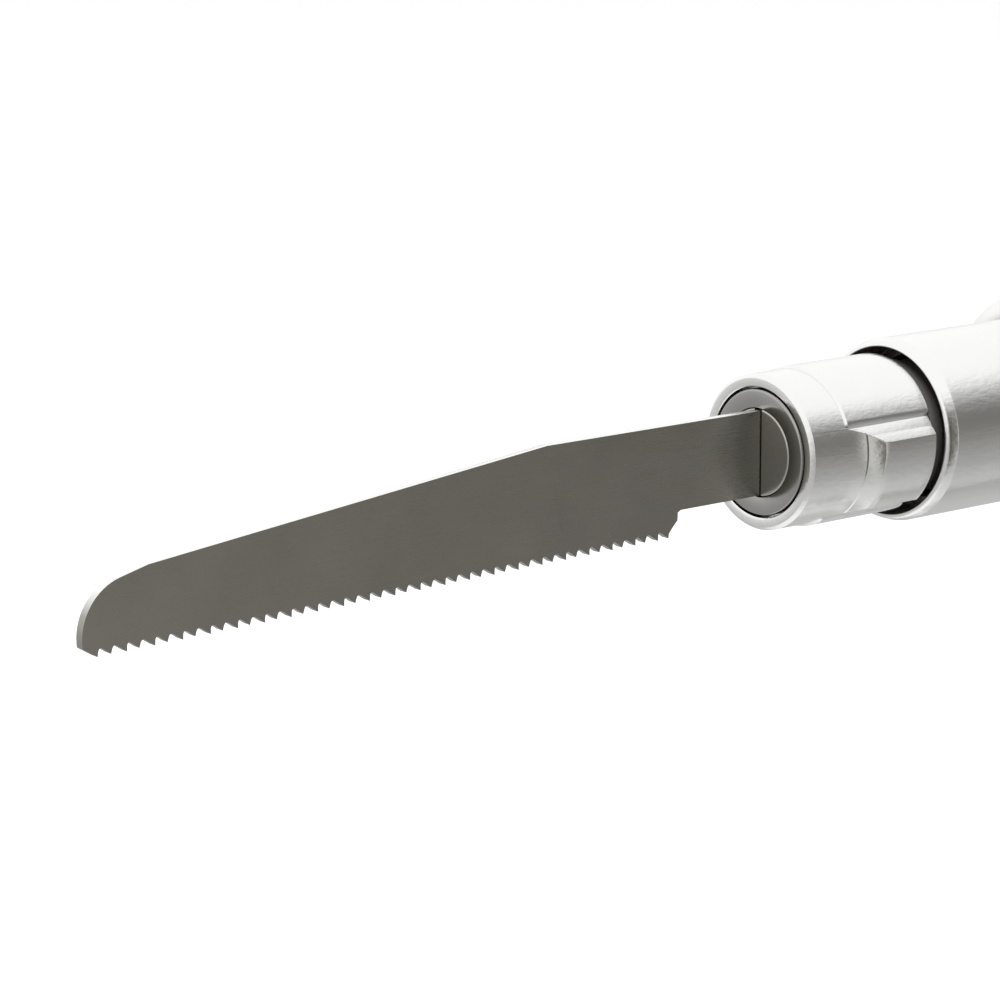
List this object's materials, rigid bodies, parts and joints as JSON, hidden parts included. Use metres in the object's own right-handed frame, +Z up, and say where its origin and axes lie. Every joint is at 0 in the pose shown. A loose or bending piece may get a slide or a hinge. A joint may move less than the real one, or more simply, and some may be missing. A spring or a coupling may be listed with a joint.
{
  "type": "surgical reciprocating saw",
  "caption": "Battery pistol-grip bone saw: toothed blade in a twist-collar chuck on a stroking plunger, round barrel and housing, trigger, safety knob, battery in the foot.",
  "frame": {"origin": "Middle of the battery pack's flat underside, on the surface that the saw stands on, straight under the middle of the grip.", "axes": "+Z up along the grip; +X back along the saw's axis, so the blade points to -X; +Y to the saw's right as its user holds it, square to the blade's flat side."},
  "size_m": [0.238, 0.046, 0.18],
  "materials": {
    "blade_steel": "satin, fine lengthwise grain",
    "dark_steel": "satin",
    "bright_steel": "bright ground",
    "collar_aluminium": "satin anodised",
    "barrel_aluminium": "satin anodised",
    "housing_aluminium": "satin anodised",
    "bronze": "machined",
    "contact_brass": "bright",
    "copper": "enamelled wire",
    "seal_rubber": "matt",
    "control_plastic": "matt",
    "board": "varnished",
    "pack_aluminium": "satin anodised",
    "cell_cans": "shrink sleeve over the can"
  },
  "bodies": {
    "saw_body": {"barrel": "barrel_aluminium", "nose_housing": "housing_aluminium", "shaft_seal": "seal_rubber", "seal_retainer": "dark_steel", "front_bush": "bronze", "rear_bush": "bronze", "yoke_liner": "bronze", "bearing_outer_races": "bright_steel", "bearing_balls": "bright_steel", "bearing_plate": "housing_aluminium", "nose_seal": "seal_rubber", "body_housing": "housing_aluminium", "stator_core": "dark_steel", "stator_windings": "copper", "rear_cap": "housing_aluminium", "rear_seal": "seal_rubber", "cap_screws": "bright_steel", "trigger_bush": "bronze", "control_board": "board", "board_parts": "control_plastic", "board_screws": "bright_steel", "terminal_block": "control_plastic", "terminal_blades": "contact_brass", "battery_case": "pack_aluminium", "battery_base": "pack_aluminium", "battery_screws": "bright_steel", "battery_cells": "cell_cans", "cell_links": "contact_brass", "latch_spring": "bright_steel"},
    "plunger_unit": {"plunger": "dark_steel", "chuck_sleeve": "bright_steel", "blade": "blade_steel", "collar_clip": "dark_steel", "collar_spring": "dark_steel", "guide_key": "dark_steel", "follower_pin": "bright_steel"},
    "collar_unit": {"collar": "collar_aluminium"},
    "lock_pin_unit": {"lock_pin": "bright_steel"},
    "rotor_unit": {"cam_drum": "dark_steel", "rotor_shaft": "bright_steel", "bearing_inner_races": "bright_steel", "rotor_core": "dark_steel", "rotor_magnets": "bright_steel"},
    "trigger_unit": {"trigger": "control_plastic", "trigger_magnet": "bright_steel", "trigger_spring": "bright_steel"},
    "safety_unit": {"safety_knob": "control_plastic", "safety_shaft": "bright_steel"},
    "latch_unit": {"battery_latch": "control_plastic"}
  },
  "joints": [
    {"name": "motor_spin", "type": "hinge", "parent": "saw_body", "child": "rotor_unit", "pos_m": [0, 0, 0.16], "axis": [1, 0, 0], "range_deg": [-75, 75]},
    {"name": "plunger_slide", "type": "slide", "parent": "saw_body", "child": "plunger_unit", "axis": [1, 0, 0], "range_m": [-0.00175, 0.00175]},
    {"name": "collar_twist", "type": "hinge", "parent": "plunger_unit", "child": "collar_unit", "pos_m": [-0.105, 0, 0.16], "axis": [-1, 0, 0], "range_deg": [0, 40], "stiffness_Nm_per_rad": 0.03, "springref_deg": -11.46},
    {"name": "lock_pin_lift", "type": "slide", "parent": "plunger_unit", "child": "lock_pin_unit", "axis": [0, 1, 0], "range_m": [0, 0.0011]},
    {"name": "trigger_press", "type": "slide", "parent": "saw_body", "child": "trigger_unit", "axis": [1, 0, 0], "range_m": [0, 0.005], "stiffness_N_per_m": 900, "springref_m": -0.003},
    {"name": "safety_turn", "type": "hinge", "parent": "saw_body", "child": "safety_unit", "pos_m": [0.012, -0.015, 0.121], "axis": [0, -1, 0], "range_deg": [0, 90]},
    {"name": "latch_press", "type": "slide", "parent": "saw_body", "child": "latch_unit", "axis": [0, 0, -1], "range_m": [0, 0.003], "stiffness_N_per_m": 800, "springref_m": -0.002, "deforming": ["latch_spring"]}
  ],
  "couplings": [
    {"joint": "motor_spin", "follows": "plunger_slide", "rad_per_m": -747.99},
    {"joint": "collar_twist", "follows": "lock_pin_lift", "rad_per_m": 634.66}
  ]
}
